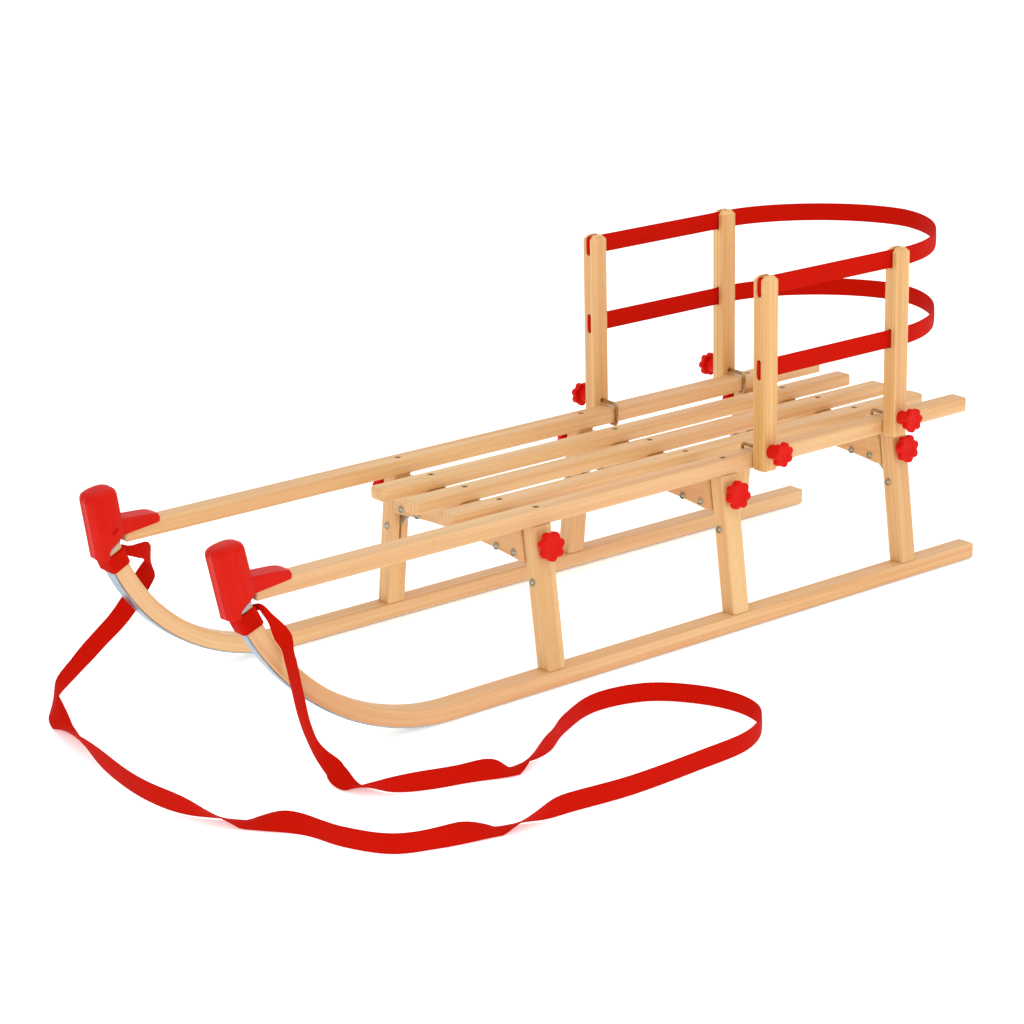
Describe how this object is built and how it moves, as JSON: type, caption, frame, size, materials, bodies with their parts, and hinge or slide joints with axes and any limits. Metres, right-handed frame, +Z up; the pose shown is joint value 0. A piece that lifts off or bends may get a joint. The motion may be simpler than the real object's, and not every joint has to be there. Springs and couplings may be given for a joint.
{
  "type": "sled",
  "caption": "Folding wooden sled with runners, seat slats, hinged side frames locked by star knobs, clamp-on webbing backrest, nose caps and a pull strap.",
  "frame": {"origin": "on the ground under the middle of the sled's box, the pull strap left out", "axes": "+X towards the front tips, +Y to the sled's left, +Z up"},
  "size_m": [1.3761, 0.7211, 0.468],
  "materials": {
    "beech_slat": "light oiled beech, planed",
    "beech_bar": "light oiled beech, planed",
    "beech_leg": "light oiled beech, planed",
    "beech_post": "light oiled beech, planed",
    "bent_beech": "steam-bent beech, oiled",
    "cap_plastic": "moulded red plastic, satin",
    "knob_plastic": "moulded red plastic, satin",
    "red_webbing": "woven red webbing",
    "zinc_steel": "bright zinc",
    "dark_screw": "dark zinc",
    "runner_steel": "cold-rolled strip",
    "brass_rod": "yellow zinc rod"
  },
  "bodies": {
    "seat": {"slat_left": "beech_slat", "slat_middle": "beech_slat", "slat_right": "beech_slat", "crossbar_front": "beech_bar", "crossbar_middle": "beech_bar", "crossbar_rear": "beech_bar", "hinge_plates": "zinc_steel", "crossbar_rivets": "zinc_steel", "slat_screws": "dark_screw", "lock_sockets": "zinc_steel", "backrest_strap_upper": "red_webbing", "backrest_strap_lower": "red_webbing", "pull_strap": "red_webbing"},
    "left_side": {"rail_left": "beech_slat", "runner_left": "bent_beech", "steel_strip_left": "runner_steel", "cap_left": "cap_plastic", "leg_left_front": "beech_leg", "leg_left_middle": "beech_leg", "leg_left_rear": "beech_leg", "hinge_pins_left": "zinc_steel", "rail_screws_left": "dark_screw", "leg_dowels_left": "beech_bar", "strip_screws_left": "zinc_steel", "post_left_front": "beech_post", "post_left_rear": "beech_post", "hook_bolts_left": "brass_rod", "strap_loop_left": "red_webbing"},
    "right_side": {"rail_right": "beech_slat", "runner_right": "bent_beech", "steel_strip_right": "runner_steel", "cap_right": "cap_plastic", "leg_right_front": "beech_leg", "leg_right_middle": "beech_leg", "leg_right_rear": "beech_leg", "hinge_pins_right": "zinc_steel", "rail_screws_right": "dark_screw", "leg_dowels_right": "beech_bar", "strip_screws_right": "zinc_steel", "post_right_front": "beech_post", "post_right_rear": "beech_post", "hook_bolts_right": "brass_rod", "strap_loop_right": "red_webbing"},
    "leg_knob_turn_left_front": {"leg_knob_left_front": "knob_plastic", "lock_screw_left_front": "zinc_steel"},
    "leg_knob_turn_left_middle": {"leg_knob_left_middle": "knob_plastic", "lock_screw_left_middle": "zinc_steel"},
    "leg_knob_turn_left_rear": {"leg_knob_left_rear": "knob_plastic", "lock_screw_left_rear": "zinc_steel"},
    "post_knob_turn_left_front": {"post_knob_left_front": "knob_plastic"},
    "post_knob_turn_left_rear": {"post_knob_left_rear": "knob_plastic"},
    "leg_knob_turn_right_front": {"leg_knob_right_front": "knob_plastic", "lock_screw_right_front": "zinc_steel"},
    "leg_knob_turn_right_middle": {"leg_knob_right_middle": "knob_plastic", "lock_screw_right_middle": "zinc_steel"},
    "leg_knob_turn_right_rear": {"leg_knob_right_rear": "knob_plastic", "lock_screw_right_rear": "zinc_steel"},
    "post_knob_turn_right_front": {"post_knob_right_front": "knob_plastic"},
    "post_knob_turn_right_rear": {"post_knob_right_rear": "knob_plastic"}
  },
  "joints": [
    {"name": "left_fold", "type": "hinge", "parent": "seat", "child": "left_side", "pos_m": [-0.154, 0.15398, 0.136], "axis": [-1, 0, 0], "range_deg": [0, 17], "deforming": ["backrest_strap_upper", "backrest_strap_lower", "pull_strap"]},
    {"name": "right_fold", "type": "hinge", "parent": "seat", "child": "right_side", "pos_m": [-0.154, -0.15398, 0.136], "axis": [1, 0, 0], "range_deg": [0, 17], "deforming": ["backrest_strap_upper", "backrest_strap_lower", "pull_strap"]},
    {"name": "leg_knob_left_front_spin", "type": "hinge", "parent": "left_side", "child": "leg_knob_turn_left_front", "pos_m": [0.16, 0.14994, 0.182], "axis": [0, 0.9914, 0.1305], "continuous": true},
    {"name": "leg_knob_left_middle_spin", "type": "hinge", "parent": "left_side", "child": "leg_knob_turn_left_middle", "pos_m": [-0.154, 0.14994, 0.182], "axis": [0, 0.9914, 0.1305], "continuous": true},
    {"name": "leg_knob_left_rear_spin", "type": "hinge", "parent": "left_side", "child": "leg_knob_turn_left_rear", "pos_m": [-0.468, 0.14994, 0.182], "axis": [0, 0.9914, 0.1305], "continuous": true},
    {"name": "post_knob_left_front_spin", "type": "hinge", "parent": "left_side", "child": "post_knob_turn_left_front", "pos_m": [-0.205, 0.185, 0.236], "axis": [0, 1, 0], "continuous": true},
    {"name": "post_knob_left_rear_spin", "type": "hinge", "parent": "left_side", "child": "post_knob_turn_left_rear", "pos_m": [-0.446, 0.185, 0.236], "axis": [0, 1, 0], "continuous": true},
    {"name": "leg_knob_right_front_spin", "type": "hinge", "parent": "right_side", "child": "leg_knob_turn_right_front", "pos_m": [0.16, -0.14994, 0.182], "axis": [0, -0.9914, 0.1305], "continuous": true},
    {"name": "leg_knob_right_middle_spin", "type": "hinge", "parent": "right_side", "child": "leg_knob_turn_right_middle", "pos_m": [-0.154, -0.14994, 0.182], "axis": [0, -0.9914, 0.1305], "continuous": true},
    {"name": "leg_knob_right_rear_spin", "type": "hinge", "parent": "right_side", "child": "leg_knob_turn_right_rear", "pos_m": [-0.468, -0.14994, 0.182], "axis": [0, -0.9914, 0.1305], "continuous": true},
    {"name": "post_knob_right_front_spin", "type": "hinge", "parent": "right_side", "child": "post_knob_turn_right_front", "pos_m": [-0.205, -0.185, 0.236], "axis": [0, -1, 0], "continuous": true},
    {"name": "post_knob_right_rear_spin", "type": "hinge", "parent": "right_side", "child": "post_knob_turn_right_rear", "pos_m": [-0.446, -0.185, 0.236], "axis": [0, -1, 0], "continuous": true}
  ]
}
